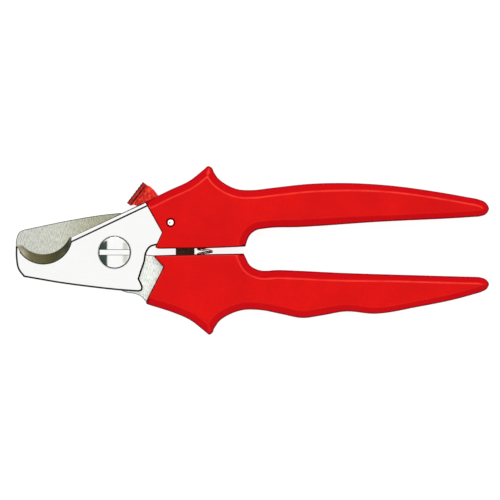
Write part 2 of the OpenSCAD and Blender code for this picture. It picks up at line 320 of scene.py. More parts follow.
def steel(name, bright, dull, rough, streak, depth, angle=0):
    """Metal with fine lines along one direction and slow patches of haze."""
    mat, bsdf = new_material(name, metallic=1.0)
    lines = noise(mat, millimetres(mat, streak, angle), 1.0, 5, 0.6)
    haze = noise(mat, millimetres(mat), 0.12, 3)
    tint = ramp(mat, lines, [(0.32, dull), (0.68, bright)])
    tint = blend_colours(mat, remap(mat, haze, 0.35, 0.75, 0, 0.35), tint, dull)
    mixed = combine(mat, "ADD", product(mat, lines, 0.6), product(mat, haze, 0.4))
    dress(mat, bsdf, tint, remap(mat, mixed, 0.3, 0.7, *rough), lines, depth)
    return mat


def brushed_blade_material():
    """Satin blade: upright grain, finely mottled, browner towards the pivot and pale behind it."""
    mat, bsdf = new_material("brushed_blade", metallic=1.0)
    grain = noise(mat, millimetres(mat, (4.2, 0.6, 1.0), 3), 1.0, 4, 0.6)
    mottle = noise(mat, millimetres(mat, (2.4, 1.2, 1.0)), 1.0, 4, 0.65)
    mixed = combine(mat, "ADD", product(mat, grain, 0.72), product(mat, mottle, 0.28))
    tint = ramp(mat, mixed, [
        (0.38, (0.40, 0.41, 0.36)),
        (0.5, (0.66, 0.67, 0.60)),
        (0.6, (0.86, 0.87, 0.80)),
    ])
    along = remap(mat, parts_of(mat, millimetres(mat))["X"], *REAR_BLADE_X, 0, 1)
    # Colour along X only: browner towards the pivot, pale behind it.
    tone_along = ramp(mat, along, [
        (0.0, (0.80, 0.80, 0.81)),
        (0.35, (0.82, 0.82, 0.79)),
        (0.62, (0.57, 0.56, 0.45)),
        (0.84, (0.49, 0.48, 0.38)),
        (0.92, (1.20, 1.25, 1.30)),
    ])
    tint = blend_colours(mat, 1.0, tint, tone_along, "MULTIPLY")
    dress(mat, bsdf, tint, remap(mat, mixed, 0.3, 0.7, 0.42, 0.28), mixed, 0.006)
    return mat


def crescent_material():
    """The hollow-ground claw edge, its fine grinding lines over a painted reflection: tan at its tip,
    deepening to green-grey.
    """
    mat, bsdf = new_material("hollow_grind", metallic=1.0)
    along = remap(mat, parts_of(mat, millimetres(mat))["X"], *CRESCENT_X, 0, 1)
    lines = noise(mat, millimetres(mat, (0.5, 0.5, 7.0)), 1.2, 5, 0.65)
    shifted = combine(mat, "ADD", along, remap(mat, lines, 0.3, 0.7, -0.10, 0.10))
    tint = ramp(mat, shifted, [
        (0.0, (0.78, 0.74, 0.58)),
        (0.2, (0.52, 0.46, 0.25)),
        (0.55, (0.30, 0.27, 0.12)),
        (0.9, (0.10, 0.115, 0.07)),
    ])
    dress(mat, bsdf, tint, remap(mat, lines, 0.3, 0.7, 0.22, 0.36), lines, 0.01)
    return mat


# Each steel is given its bright and dull colours, its range of roughness, how fine its lines
# are along X, Y and Z, and how deep they are. The ground edges are painted near black: a painted dark
# reflection.
MATERIALS = {
    "polished": steel("polished_blade", (0.94, 0.945, 0.935), (0.89, 0.895, 0.885), (0.08, 0.16),
                      (0.08, 5.0, 1.0), 0.0012),
    # Painted dark reflection on the ground edges.
    "chamfer": steel("ground_edge", (0.05, 0.05, 0.045), (0.022, 0.022, 0.02), (0.14, 0.24),
                     (1.0, 1.0, 4.0), 0.003),
    "brushed": brushed_blade_material(),
    "crescent": crescent_material(),
    "bright": steel("bright_steel", (0.96, 0.96, 0.95), (0.90, 0.90, 0.88), (0.03, 0.09),
                    (3.5, 0.3, 1.0), 0.0015),
    "steel": steel("plain_steel", (0.62, 0.62, 0.60), (0.42, 0.42, 0.40), (0.25, 0.42),
                   (2.5, 2.5, 0.6), 0.006, 20),
    "dark": steel("dark_steel", (0.11, 0.075, 0.05), (0.05, 0.035, 0.025), (0.4, 0.6),
                  (1.2, 1.2, 1.2), 0.02),
    "spring": steel("spring_steel", (0.95, 0.95, 0.94), (0.80, 0.80, 0.78), (0.08, 0.18),
                    (1.6, 1.6, 1.6), 0.003),
    "rim": rim_plastic(),
    "red": red_plastic(),
    "pad": pad_plastic(),
}


# ------------ mesh helpers

# How near points are welded, how level a level face is, and the radius that stands for none.
WELD = 0.002
LEVEL = 0.98
SMALLEST_R = 1e-4


def make_object(name, vertices, faces, materials, sharp=35, indices=None):
    """A smooth-shaded object from points in millimetres; indices are the faces' materials."""
    mesh = bpy.data.meshes.new(name)
    mesh.from_pydata([tuple(float(c) * MM for c in v) for v in vertices], [], faces)
    mesh.validate()
    add_materials(mesh, materials)
    if indices is not None:
        mesh.polygons.foreach_set("material_index", indices)
    tidy_mesh(mesh)
    shade(mesh, sharp)
    return add_object(name, mesh)


def add_object(name, data):
    obj = bpy.data.objects.new(name, data)
    bpy.context.scene.collection.objects.link(obj)
    return obj


def add_materials(mesh, materials):
    for material in materials:
        mesh.materials.append(material)


def replace_materials(mesh, materials, indices):
    """New materials; clearing the old ones clears the faces' indices too, so they are given."""
    mesh.materials.clear()
    add_materials(mesh, materials)
    mesh.polygons.foreach_set("material_index", indices)


def tidy_mesh(mesh):
    """Merges doubled points, closes slivers and turns every face outwards."""
    bm = bmesh.new()
    bm.from_mesh(mesh)
    bmesh.ops.remove_doubles(bm, verts=bm.verts, dist=WELD * MM)
    bmesh.ops.holes_fill(bm, edges=bm.edges, sides=3)
    bmesh.ops.recalc_face_normals(bm, faces=bm.faces)
    bm.to_mesh(mesh)
    bm.free()


def triangulate(mesh):
    """Splits the many-sided faces, so that cuts through them stay clean."""
    bm = bmesh.new()
    bm.from_mesh(mesh)
    bmesh.ops.triangulate(bm, faces=[face for face in bm.faces if len(face.verts) > 4])
    bm.to_mesh(mesh)
    bm.free()


def shade(mesh, sharp, flat_tops=False):
    """Smooth shading with hard edges; flat_tops keeps the level faces truly level."""
    for polygon in mesh.polygons:
        polygon.use_smooth = True
    mesh.set_sharp_from_angle(angle=math.radians(sharp))
    if flat_tops:
        for polygon in mesh.polygons:
            if abs(polygon.normal.z) > LEVEL and polygon.material_index == 0:
                polygon.use_smooth = False


def cut(obj, cutter, operation="DIFFERENCE"):
    """Boolean of obj with cutter, applied; the cutter is thrown away."""
    modifier = obj.modifiers.new("cut", "BOOLEAN")
    modifier.object = cutter
    modifier.operation = operation
    modifier.solver = "EXACT"
    apply_modifiers(obj)
    bpy.data.objects.remove(cutter)


def apply_modifiers(obj):
    """Makes what the modifiers show the object's own mesh."""
    graph = bpy.context.evaluated_depsgraph_get()
    mesh = bpy.data.meshes.new_from_object(obj.evaluated_get(graph))
    obj.modifiers.clear()
    old = obj.data
    obj.data = mesh
    mesh.name = old.name


def bands(rows, n, closed=False):
    """Faces between rings of n points; closed joins the last ring to the first."""
    faces = []
    for r in range(rows if closed else rows - 1):
        t = (r + 1) % rows
        for i in range(n):
            j = (i + 1) % n
            faces.append([r * n + i, r * n + j, t * n + j, t * n + i])
    return faces


def caps(rows, n):
    """The faces that close the first and the last ring."""
    return [list(range(n))[::-1], [(rows - 1) * n + i for i in range(n)]]


def prism(name, outline, low, high):
    """A cutter: straight walls over an outline."""
    n = len(outline)
    vertices = [(*p, low) for p in outline] + [(*p, high) for p in outline]
    return make_object(name, vertices, caps(2, n) + bands(2, n), [])


def ring_points(centre, radius, count=48):
    angles = [2 * math.pi * i / count for i in range(count)]
    return [(centre[0] + radius * math.cos(a), centre[1] + radius * math.sin(a)) for a in angles]


def lathe(name, profile, centre, materials, count=96, closed=False):
    """Turns a profile of (radius, height) about an upright line; closed makes it a ring."""
    vertices = []
    for r, z in profile:
        vertices += [(x, y, z) for x, y in ring_points(centre, max(r, SMALLEST_R), count)]
    rows = len(profile)
    faces = bands(rows, count, closed)
    if not closed:
        faces += caps(rows, count)
    return make_object(name, vertices, faces, materials)


def anticlockwise(loop):
    x, y = loop[:, 0], loop[:, 1]
    area = np.sum(x * np.roll(y, -1) - np.roll(x, -1) * y)
    return loop if area > 0 else loop[::-1]


# ------------ handles

# Where the CAD handles' outlines are read, and the turn that makes a corner.
OUTLINE_LEVEL = 10.7
CORNER = math.radians(40)
STEP = 1.1
GRID_STEP = 2.6
# The sloping border: its steepness, its width, and how it narrows along X towards the tip.
SLOPE = math.radians(33)
CREST = 3.2
CREST_ROUND = 0.55
TIP_SHARE = 0.82
TAPER_FROM, TAPER_TO = 25, 62
FACE_RINGS = (0.7, 1.2, 1.8, 2.3, 2.65, 2.8, 2.95, 3.1, 3.2, 3.3, 3.45, 3.6, 3.75, 4.2)
# The rounded rims, on the bordered stretch and on the rest, and how much of them takes the painted
# shade.
BORDER_ROUND = 1.1
CUT_ROUND = 0.7
ARC_STEPS = 6
RIM_BANDS = 4
# The parting line around the middle of the wall, as (height above the middle, depth).
PARTING = ((0, 0.05), (0.05, 0.05), (0.12, 0))
WALL_SHARES = (0.35, 0.7)
HANDLE_SHARP = 50


def curve_through(points):
    """Points about STEP apart on a smooth open curve through the given ones."""
    points = [np.array(p, float) for p in points]
    if len(points) == 2:
        count = max(1, round(np.linalg.norm(points[1] - points[0]) / STEP))
        return [points[0] + (points[1] - points[0]) * i / count for i in range(count)]
    padded = [2 * points[0] - points[1]] + points + [2 * points[-1] - points[-2]]
    result = []
    for a, b, c, d in zip(padded, padded[1:], padded[2:], padded[3:]):
        gap = np.linalg.norm(c - b)
        count = max(1, round(gap / STEP))
        before = (c - a) / (np.linalg.norm(b - a) + gap) * gap
        after = (d - b) / (np.linalg.norm(d - c) + gap) * gap
        for i in range(count):
            t = i / count
            result.append((2 * t**3 - 3 * t**2 + 1) * b + (t**3 - 2 * t**2 + t) * before
                          + (3 * t**2 - 2 * t**3) * c + (t**3 - t**2) * after)
    return result


def outline_of(node):
    """The closed outline of a CAD node at OUTLINE_LEVEL, anticlockwise."""
    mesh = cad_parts[node].data
    near = {}
    for edge in mesh.edges:
        a, b = (mesh.vertices[i].co / MM for i in edge.vertices)
        if max(abs(a.z - OUTLINE_LEVEL), abs(b.z - OUTLINE_LEVEL)) > 0.01:
            continue
        ka, kb = ((round(v.x, 3), round(v.y, 3)) for v in (a, b))
        if ka != kb:
            near.setdefault(ka, set()).add(kb)
            near.setdefault(kb, set()).add(ka)
    start = min(near)
    loop = [start]
    last, here = None, start
    while True:
        following = [p for p in near[here] if p != last]
        last, here = here, following[0]
        if here == start:
            return anticlockwise(np.array(loop))
        loop.append(here)


def turns(loop):
    """How far the outline turns at each point, in radians."""
    before = loop - np.roll(loop, 1, 0)
    after = np.roll(loop, -1, 0) - loop
    cross = before[:, 0] * after[:, 1] - before[:, 1] * after[:, 0]
    dot = np.sum(before * after, 1)
    return np.arctan2(cross, dot)


def stretches(loop):
    """The outline between its corners, resampled; each stretch leaves out its last point."""
    corners = [i for i, t in enumerate(turns(loop)) if abs(t) > CORNER]
    result = []
    for a, b in zip(corners, corners[1:] + [corners[0] + len(loop)]):
        result.append(curve_through([loop[i % len(loop)] for i in range(a, b + 1)]))
    return result


def mitres(loop):
    """The inward direction at each point, longer at corners, so that an offset keeps its width."""
    before = loop - np.roll(loop, 1, 0)
    after = np.roll(loop, -1, 0) - loop
    before /= np.linalg.norm(before, axis=1)[:, None]
    after /= np.linalg.norm(after, axis=1)[:, None]
    n1 = np.stack([-before[:, 1], before[:, 0]], 1)
    n2 = np.stack([-after[:, 1], after[:, 0]], 1)
    return (n1 + n2) / (1 + np.sum(n1 * n2, 1))[:, None]


def distance_to(points, segments):
    """The distance from each point to the nearest of some segments."""
    best = np.full(len(points), 1e9)
    for a, b in segments:
        along = b - a
        t = np.clip((points - a) @ along / (along @ along), 0, 1)
        gap = points - (a + t[:, None] * along)
        best = np.minimum(best, np.hypot(gap[:, 0], gap[:, 1]))
    return best


def inside(points, loop):
    """Which points lie within a closed outline."""
    x, y = points[:, 0], points[:, 1]
    result = np.zeros(len(points), bool)
    for (x1, y1), (x2, y2) in zip(loop, np.roll(loop, -1, 0)):
        if y1 == y2:
            continue
        result ^= ((y1 > y) != (y2 > y)) & (x < (x2 - x1) * (y - y1) / (y2 - y1) + x1)
    return result


def border_share(points):
    """The share of its full width that the border has at each point."""
    t = np.clip((points[:, 0] - TAPER_FROM) / (TAPER_TO - TAPER_FROM), 0, 1)
    return 1 - (1 - TIP_SHARE) * t * t * (3 - 2 * t)


def border_height(d, share):
    """The face's height at a distance from the nearest sloping border."""
    slope = math.tan(SLOPE)
    crest = CREST * share
    t = np.clip((d - crest + CREST_ROUND) / (2 * CREST_ROUND), 0, 1)
    rounded = slope * CREST_ROUND * (2 * t - t * t)
    low = HANDLE_TOP - slope * CREST_ROUND - slope * np.maximum(crest - CREST_ROUND - d, 0)
    return np.where(d < crest - CREST_ROUND, low, HANDLE_TOP - slope * CREST_ROUND + rounded)


def rim_rows(loop, touches, segments):
    """The rounded rim, as rows of points from the top of the wall to the edge of the face."""
    inward = mitres(loop)
    border_d = distance_to(loop, segments)
    share = border_share(loop)
    steep = math.pi / 2 - SLOPE
    centre_z = border_height(np.full(len(loop), BORDER_ROUND * (1 - math.cos(steep))), share)
    centre_z -= BORDER_ROUND * math.sin(steep)
    rows = []
    for k in range(ARC_STEPS):
        swing = steep * k / (ARC_STEPS - 1)
        edge_d = BORDER_ROUND * (1 - math.cos(swing))
        edge_z = centre_z + BORDER_ROUND * math.sin(swing)
        swing = math.pi / 2 * k / (ARC_STEPS - 1)
        cut_d = CUT_ROUND * (1 - math.cos(swing))
        cut_z = border_height(border_d + cut_d, share) - CUT_ROUND * (1 - math.sin(swing))
        d = np.where(touches, edge_d, cut_d)
        z = np.where(touches, edge_z, cut_z)
        rows.append(np.column_stack([loop + inward * d[:, None], z]))
    return rows


def wall_rows(loop, top):
    """The wall, as rows of points from the parting line up to just below the rim."""
    rows = []
    for rise, depth in PARTING:
        rows.append(np.column_stack([loop + mitres(loop) * depth, np.full(len(loop), MIDDLE + rise)]))
    for share in WALL_SHARES:
        rows.append(np.column_stack([loop, MIDDLE + (top - MIDDLE) * share]))
    return rows


def face_seeds(loop, touches, segments, cuts):
    """Points within the face: rings along the border, then a loose grid."""
    seeds = []
    for ring_d in FACE_RINGS:
        widths = ring_d * border_share(loop)[touches]
        ring = loop[touches] + mitres(loop)[touches] * widths[:, None]
        keep = distance_to(ring, segments) > widths - 0.03
        keep &= distance_to(ring, cuts) > CUT_ROUND + 0.25
        seeds += list(ring[keep & inside(ring, loop)])
    low, high = loop.min(0), loop.max(0)
    xs, ys = np.meshgrid(np.arange(low[0], high[0], GRID_STEP), np.arange(low[1], high[1], GRID_STEP))
    grid = np.column_stack([xs.ravel(), ys.ravel()])
    keep = distance_to(grid, segments) > FACE_RINGS[-1] + 1
    keep &= distance_to(grid, cuts) > 1.2
    return seeds + list(grid[keep & inside(grid, loop)])


def face_triangles(edge, first, seeds, segments):
    """The face inside its edge, whose points are numbered from first: triangles and new points."""
    n = len(edge)
    points = [Vector(p) for p in edge] + [Vector(p) for p in seeds]
    flat, _, triangles, origins, _, _ = delaunay_2d_cdt(points, [], [list(range(n))], 1, 1e-7)
    flat = np.array([tuple(p) for p in flat])
    heights = border_height(distance_to(flat, segments), border_share(flat))
    number, added = {}, []
    for i, ids in enumerate(origins):
        on_edge = [k for k in ids if k < n]
        if on_edge:
            number[i] = first + on_edge[0]
        else:
            number[i] = first + n + len(added)
            added.append((*flat[i], heights[i]))
    return [[number[i] for i in triangle] for triangle in triangles], added


def handle_shell(name, node, border):
    """A moulded grip: flat faces, rounded rims, a parting line, and a slope along one stretch."""
    runs = stretches(outline_of(node))
    loop = np.array([p for run in runs for p in run])
    sloped = np.array([k == border for k, run in enumerate(runs) for _ in run])
    sides = list(zip(loop, np.roll(loop, -1, 0)))
    segments = [side for side, slope in zip(sides, sloped) if slope]
    cuts = [side for side, slope in zip(sides, sloped) if not slope]
    touches = sloped | np.roll(sloped, 1)
    rim = rim_rows(loop, touches, segments)
    wall = wall_rows(loop, rim[0][:, 2])
    rows = wall + rim
    n, last = len(loop), len(rows) - 1
    seeds = face_seeds(loop, touches, segments, cuts)
    triangles, added = face_triangles(rows[-1][:, :2], last * n, seeds, segments)
    vertices = [tuple(v) for row in rows for v in row] + added
    faces = bands(len(rows), n) + triangles
    # The cut edges' rim bands take the rim material: painted shade.
    shaded_rows = range(len(wall), len(wall) + RIM_BANDS)
    indices = [int(r in shaded_rows and not sloped[i]) for r in range(last) for i in range(n)]
    indices += [0] * len(triangles)
    mirrored = [(x, y, HANDLE_TOP - z) for x, y, z in vertices]
    back = [[len(vertices) + i for i in face[::-1]] for face in faces]
    materials = [MATERIALS["red"], MATERIALS["rim"]]
    return make_object(name, vertices + mirrored, faces + back, materials, HANDLE_SHARP, indices * 2)


def place(obj, body, slot, *nodes):
    """Hangs a finished piece on its body, in place of its CAD node."""
    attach(obj, body)
    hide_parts(*nodes)


def offset_from_pivot(points):
    return [tuple(from_pivot(x, y)) for x, y in points]


# The catch's slot and the spring's pocket, as in the CAD.
SLOT_LOW = 2.2
SLOT_HIGH = 6.02
LEVER_ROOM = (
    [(10, 16.6), (13, 16.9), (18, 9.6), (26.6, 9.6), (22, 26.5), (10, 26.5)],
    [(18.4, 9.6), (22, 5), (22, 0), (33.2, 0), (33.2, 3.4), (27.2, 12)],
)
ROOM_MARGIN = 0.2
BOSS_ROOM_R = 4.8
FOOT_ROOM = [(20, -8.4), (33.2, -8.4), (33.2, 0), (20, 0)]
FOOT_ROOM_HIGH = 6.0
SPRING_X = 36.2
SPRING_LOW = -7.0
SPRING_HIGH = 7.7
POCKET_R = 3.5
# Radius, bottom and top of the holes round the catch's pin: head, washer and shank.
PIN_BORE = 1.37
PIN_HOLES = ((1.85, HANDLE_TOP - 2.4, HANDLE_TOP + 1), (3.0, -1, 1), (PIN_BORE, -1, HANDLE_TOP + 1))
# The round marks that the mould's pins leave: their profile and their places.
MARK = [(1.9, -1), (1.9, 0.10), (1.7, 0.06), (0, 0.06)]
UPPER_MARKS = [(45, 15), (90, 18.5), (135, 18.5)]
LOWER_MARKS = [(45, -13.5), (90, -16), (135, -13)]


def widened(outline):
    """An outline drawn a little larger all round."""
    loop = anticlockwise(np.array(outline))
    return [tuple(p) for p in loop - mitres(loop) * ROOM_MARGIN]


def cut_lever_room(handle):
    for outline in LEVER_ROOM:
        cut(handle, prism("room", widened(offset_from_pivot(outline)), SLOT_LOW, SLOT_HIGH))
    cut(handle, prism("room", ring_points(CATCH, BOSS_ROOM_R), SLOT_LOW, SLOT_HIGH))


def cut_spring_pocket(handle):
    """A round pocket for the spring, lying along Y."""
    x, low = from_pivot(SPRING_X, SPRING_LOW)
    high = from_pivot(SPRING_X, SPRING_HIGH)[1]
    ring = ring_points((x, MIDDLE), POCKET_R)
    n = len(ring)
    vertices = [(px, low, pz) for px, pz in ring] + [(px, high, pz) for px, pz in ring]
    cut(handle, make_object("pocket", vertices, caps(2, n) + bands(2, n), []))


def cut_pin_recesses(handle):
    for radius, low, high in PIN_HOLES:
        cut(handle, prism("recess", ring_points(CATCH, radius), low, high))


def press_ejector_marks(handle, places):
    """Faint round marks that the mould's pins leave on the back."""
    for x, y in places:
        cut(handle, lathe("mark", MARK, from_pivot(x, y), [], 40))


def make_handles():
    upper = handle_shell("upper_grip", "upper_handle", 2)
    cut_lever_room(upper)
    cut_spring_pocket(upper)
    cut_pin_recesses(upper)
    press_ejector_marks(upper, UPPER_MARKS)
    finish_handle(upper)
    place(upper, "upper", "red_handle", "upper_handle")
    lower = handle_shell("lower_grip", "lower_handle", 0)
    cut(lower, prism("room", offset_from_pivot(FOOT_ROOM), SLOT_LOW, FOOT_ROOM_HIGH))
    cut_spring_pocket(lower)
    press_ejector_marks(lower, LOWER_MARKS)
    finish_handle(lower)
    place(lower, "lower", "red_handle", "lower_handle")


def finish_handle(handle):
    """Keeps the rims' material through the cuts, and gives every other face the plain red."""
    mesh = handle.data
    slots = list(mesh.materials)
    rims = [int(slots[polygon.material_index] == MATERIALS["rim"]) for polygon in mesh.polygons]
    replace_materials(mesh, [MATERIALS["red"], MATERIALS["rim"]], rims)
    tidy_mesh(mesh)
    shade(mesh, HANDLE_SHARP)


# ------------ blades

# The round hollows' middles and reaches, seen from above.
NOTCH, NOTCH_REACH = from_pivot(-28.6, 8.8), 16
ARCH, ARCH_REACH = from_pivot(-28.4, -20), 24
# Left of the first the front blade's outer edge is ground wider; the second is the notch's tip.
WIDE_EDGE_X = from_pivot(-36.5, 0)[0]
NOTCH_TIP_X = from_pivot(-38, 0)[0]
HEAD_R = 6.5
TOP_EDGE_ANGLE = math.radians(25.5)
OUTWARD_TURN = math.radians(25)
RELIEF_SLOPE = 0.7
# The widths of the ground edges.
TIP_CHAMFER = 0.78
FACE_CHAMFER = 0.7
RELIEF_CHAMFER = 0.55
HOLLOW_CHAMFER = 0.28
HEAD_HOLE_CHAMFER = 0.08
REAR_CHAMFER = 0.26
LEVER_CHAMFER = 0.18
# The blades' material slots: their own steel is the first.
GROUND, HOLLOW = 1, 2
BLADE_SHARP = 28


def whole_faces(node):
    """A bmesh of a CAD node with its flat faces made whole, in metres."""
    bm = bmesh.new()
    bm.from_mesh(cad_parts[node].data)
    bmesh.ops.remove_doubles(bm, verts=bm.verts, dist=WELD / 2 * MM)
    bmesh.ops.dissolve_limit(bm, angle_limit=math.radians(0.5), verts=bm.verts, edges=bm.edges)
    bmesh.ops.recalc_face_normals(bm, faces=bm.faces)
    for face in bm.faces:
        face.material_index = 0
    return bm


def convex_edges(bm):
    """Outward edges that no chamfer has touched."""
    result = []
    for edge in bm.edges:
        if len(edge.link_faces) != 2 or any(f.material_index == GROUND for f in edge.link_faces):
            continue
        if edge.calc_face_angle_signed() > OUTWARD_TURN:
            result.append(edge)
    return result


def chamfer(bm, edges, width):
    """Cuts edges to a narrow flat, which takes the ground edges' material."""
    bmesh.ops.bevel(bm, geom=edges, offset=width * MM, offset_type="OFFSET", segments=1,
                    profile=0.5, affect="EDGES", clamp_overlap=False, loop_slide=False,
                    material=GROUND)


def from_bmesh(name, bm, materials):
    """An object from a bmesh in metres, with crisp edges and level tops."""
    mesh = bpy.data.meshes.new(name)
    bmesh.ops.recalc_face_normals(bm, faces=bm.faces)
    bm.to_mesh(mesh)
    bm.free()
    add_materials(mesh, materials)
    shade(mesh, BLADE_SHARP, True)
    return add_object(name, mesh)


def middle(edge):
    return (edge.verts[0].co + edge.verts[1].co) / 2 / MM


def mark_hollow(bm, centre, reach):
    """Gives the slanting faces of a hollow-ground notch a material of their own."""
    for face in bm.faces:
        at = face.calc_center_median() / MM
        if 0.05 < abs(face.normal.z) < 0.97 and math.dist(at[:2], centre) < reach:
            face.material_index = HOLLOW


def runs_along(edge, angle):
    """Whether an edge lies along one direction seen from above."""
    way = edge.verts[1].co - edge.verts[0].co
    return abs(way.x * math.sin(angle) - way.y * math.cos(angle)) < 0.02 * way.length


def outer(edge):
    """Whether neither of an edge's faces has been ground or hollowed."""
    return all(f.material_index == 0 for f in edge.link_faces)


def on_face(edge, depth=0.02):
    """Whether an edge is within depth of the front blade's face."""
    return middle(edge).z > BLADE_FACE - depth


def by_pivot(edge):
    """Whether an edge belongs to the hole for the screw's head."""
    return math.dist(middle(edge)[:2], PIVOT) < HEAD_R + 1


def slope_relief_wall(bm):
    """Leans the little wall behind the top edge's relief, so that it shows from above."""
    outward = Vector((-math.sin(TOP_EDGE_ANGLE), math.cos(TOP_EDGE_ANGLE), 0))
    for face in bm.faces:
        low = min(v.co.z for v in face.verts) / MM
        if face.normal.dot(outward) > 0.95 and low > BLADE_FACE - 1.0:
            face.material_index = GROUND
            for v in face.verts:
                if v.co.z / MM > BLADE_FACE - 0.01:
                    v.co -= outward * RELIEF_SLOPE * MM
    bm.normal_update()


def make_front_blade():
    """The front blade; each round of grinding leaves the edges already done alone."""
    bm = whole_faces("front_blade")
    mark_hollow(bm, NOTCH, NOTCH_REACH)
    slope_relief_wall(bm)
    edges = [e for e in convex_edges(bm) if on_face(e) and outer(e)]
    chamfer(bm, [e for e in edges if middle(e).x < WIDE_EDGE_X], TIP_CHAMFER)
    edges = [e for e in convex_edges(bm) if on_face(e) and outer(e)]
    chamfer(bm, [e for e in edges if not by_pivot(e)], FACE_CHAMFER)
    edges = [e for e in convex_edges(bm) if on_face(e) and by_pivot(e)]
    chamfer(bm, edges, HEAD_HOLE_CHAMFER)
    edges = [e for e in convex_edges(bm) if on_face(e, 1.2) and outer(e)]
    chamfer(bm, [e for e in edges if runs_along(e, TOP_EDGE_ANGLE)], RELIEF_CHAMFER)
    edges = [e for e in convex_edges(bm) if on_face(e) and middle(e).x > NOTCH_TIP_X]
    chamfer(bm, edges, HOLLOW_CHAMFER)
    materials = [MATERIALS["polished"], MATERIALS["chamfer"], MATERIALS["crescent"]]
    place(from_bmesh("front_blade_shape", bm, materials), "upper", "polished_blade", "front_blade")


def make_rear_blade():
    bm = whole_faces("rear_blade")
    mark_hollow(bm, ARCH, ARCH_REACH)
    chamfer(bm, [e for e in convex_edges(bm) if outer(e)], REAR_CHAMFER)
    materials = [MATERIALS["brushed"], MATERIALS["chamfer"], MATERIALS["brushed"]]
    place(from_bmesh("rear_blade_shape", bm, materials), "lower", "brushed_blade", "rear_blade")


# ------------ pivot

HEAD_CROWN = 38
HEAD_LOW = 7.64
HEAD_RIM = 0.42
HEAD_SLOT = 2.0
SLOT_LIP = 0.2
SHANK_R = 3.0
THREAD_PITCH = 0.5
THREAD_DEPTH = 0.18
WASHER_R = 5.8
NUT_R = 5.75


def crown_height(top, r):
    """The height of the crowned head at a distance from its middle."""
    return top - HEAD_CROWN + math.sqrt(HEAD_CROWN**2 - r**2)


def screw_profile(end, top):
    """From the threaded end, up the shank and over the head's rounded rim to its crown."""
    profile = [(0, end), (SHANK_R - 0.4, end), (SHANK_R, end + 0.4)]
    profile += thread_profile(end + 0.6, 2.3)
    profile += [(SHANK_R, 2.6), (SHANK_R, HEAD_LOW), (HEAD_R, HEAD_LOW)]
    inner = HEAD_R - HEAD_RIM
    rim_z = top - (HEAD_CROWN - math.sqrt(HEAD_CROWN**2 - inner**2)) - HEAD_RIM
    profile.append((HEAD_R, rim_z))
    for k in range(1, 4):
        swing = math.pi / 2 * k / 4
        profile.append((inner + HEAD_RIM * math.cos(swing), rim_z + HEAD_RIM * math.sin(swing)))
    for k in range(14, -1, -1):
        r = inner * k / 14
        profile.append((r, crown_height(top, r)))
    return profile


def darken_rim(mesh):
    """Gives the head's rim and the slot's lips the ground edges' near-black steel, a painted dark
    reflection.
    """
    bm = bmesh.new()
    bm.from_mesh(mesh)
    for face in bm.faces:
        at = face.calc_center_median() / MM
        lip = 0.3 < abs(face.normal.y) < 0.95 and abs(at.y - PIVOT[1]) < HEAD_SLOT / 2 + 0.3
        rim = math.dist(at[:2], PIVOT) > HEAD_R - HEAD_RIM
        face.material_index = int(at.z > HEAD_LOW + 0.06 and (lip or rim))
    bm.to_mesh(mesh)
    bm.free()


def make_screw():
    end, top = (v.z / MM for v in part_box("pivot_screw"))
    materials = [MATERIALS["bright"], MATERIALS["chamfer"]]
    screw = lathe("pivot_screw_shape", screw_profile(end, top), PIVOT, materials, 128)
    cut(screw, slot_cutter(top))
    darken_rim(screw.data)
    shade(screw.data, 30)
    place(screw, "upper", "bright_steel", "pivot_screw")


def slot_cutter(top):
    """The driver slot, with bevelled lips that follow the crowned head."""
    half, floor, above = HEAD_SLOT / 2, top - 1, 1.0
    reach, sections = 8, 48
    vertices = []
    for k in range(sections + 1):
        x = -reach + 2 * reach * k / sections
        z = crown_height(top, min(math.hypot(x, half), HEAD_R))
        side = [(half, floor), (half, z - SLOT_LIP), (half + SLOT_LIP, z + 0.01),
                (half + SLOT_LIP + above, z + above)]
        section = side + [(-y, height) for y, height in side[::-1]]
        vertices += [(PIVOT[0] + x, PIVOT[1] + y, height) for y, height in section]
    n = len(section)
    return make_object("slot", vertices, bands(sections + 1, n) + caps(sections + 1, n), [])


def thread_profile(low, high):
    rows = []
    z = low
    while z + THREAD_PITCH <= high:
        rows += [(SHANK_R, z), (SHANK_R, z + THREAD_PITCH * 0.2)]
        rows.append((SHANK_R - THREAD_DEPTH, z + THREAD_PITCH * 0.6))
        z += THREAD_PITCH
    return rows


def make_washer():
    """The dished washer that keeps the blades pressed together."""
    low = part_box("pivot_spring_washer")[0].z / MM
    bore = SHANK_R + 0.02
    profile = [(bore, low + 0.15), (WASHER_R - 0.15, low), (WASHER_R, low + 0.1), (WASHER_R, low + 0.4),
               (WASHER_R - 0.1, low + 0.5), (bore, low + 0.65)]
    washer = lathe("spring_washer_shape", profile, PIVOT, [MATERIALS["steel"]], closed=True)
    place(washer, "upper", "plain_steel", "pivot_spring_washer")


def make_nut():
    """A hexagonal lock nut with chamfered corners and a countersunk bore."""
    low, high = (v.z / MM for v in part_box("pivot_nut"))
    outside = [(NUT_R - 0.85, low), (NUT_R, low + 0.45), (NUT_R, high - 0.2), (NUT_R - 0.25, high)]
    bore = [(3.35, low - 1), (3.35, low), (3.02, low + 0.3), (3.02, high + 1)]
    nut = lathe("pivot_nut_shape", outside, PIVOT, [MATERIALS["steel"]])
    cut(nut, prism("hexagon", ring_points(PIVOT, NUT_R, 6), low - 1, high + 1), "INTERSECT")
    cut(nut, lathe("bore", bore, PIVOT, [], 64))
    shade(nut.data, 25)
    place(nut, "upper", "plain_steel", "pivot_nut")


# ------------ catch

PAD_DEPTH = 2.2
PAD_ROUND = 0.14
PAD_RIBS = 7
RIB_H = 0.3
RIB_STEPS = 10
PAD_SHARP = 50
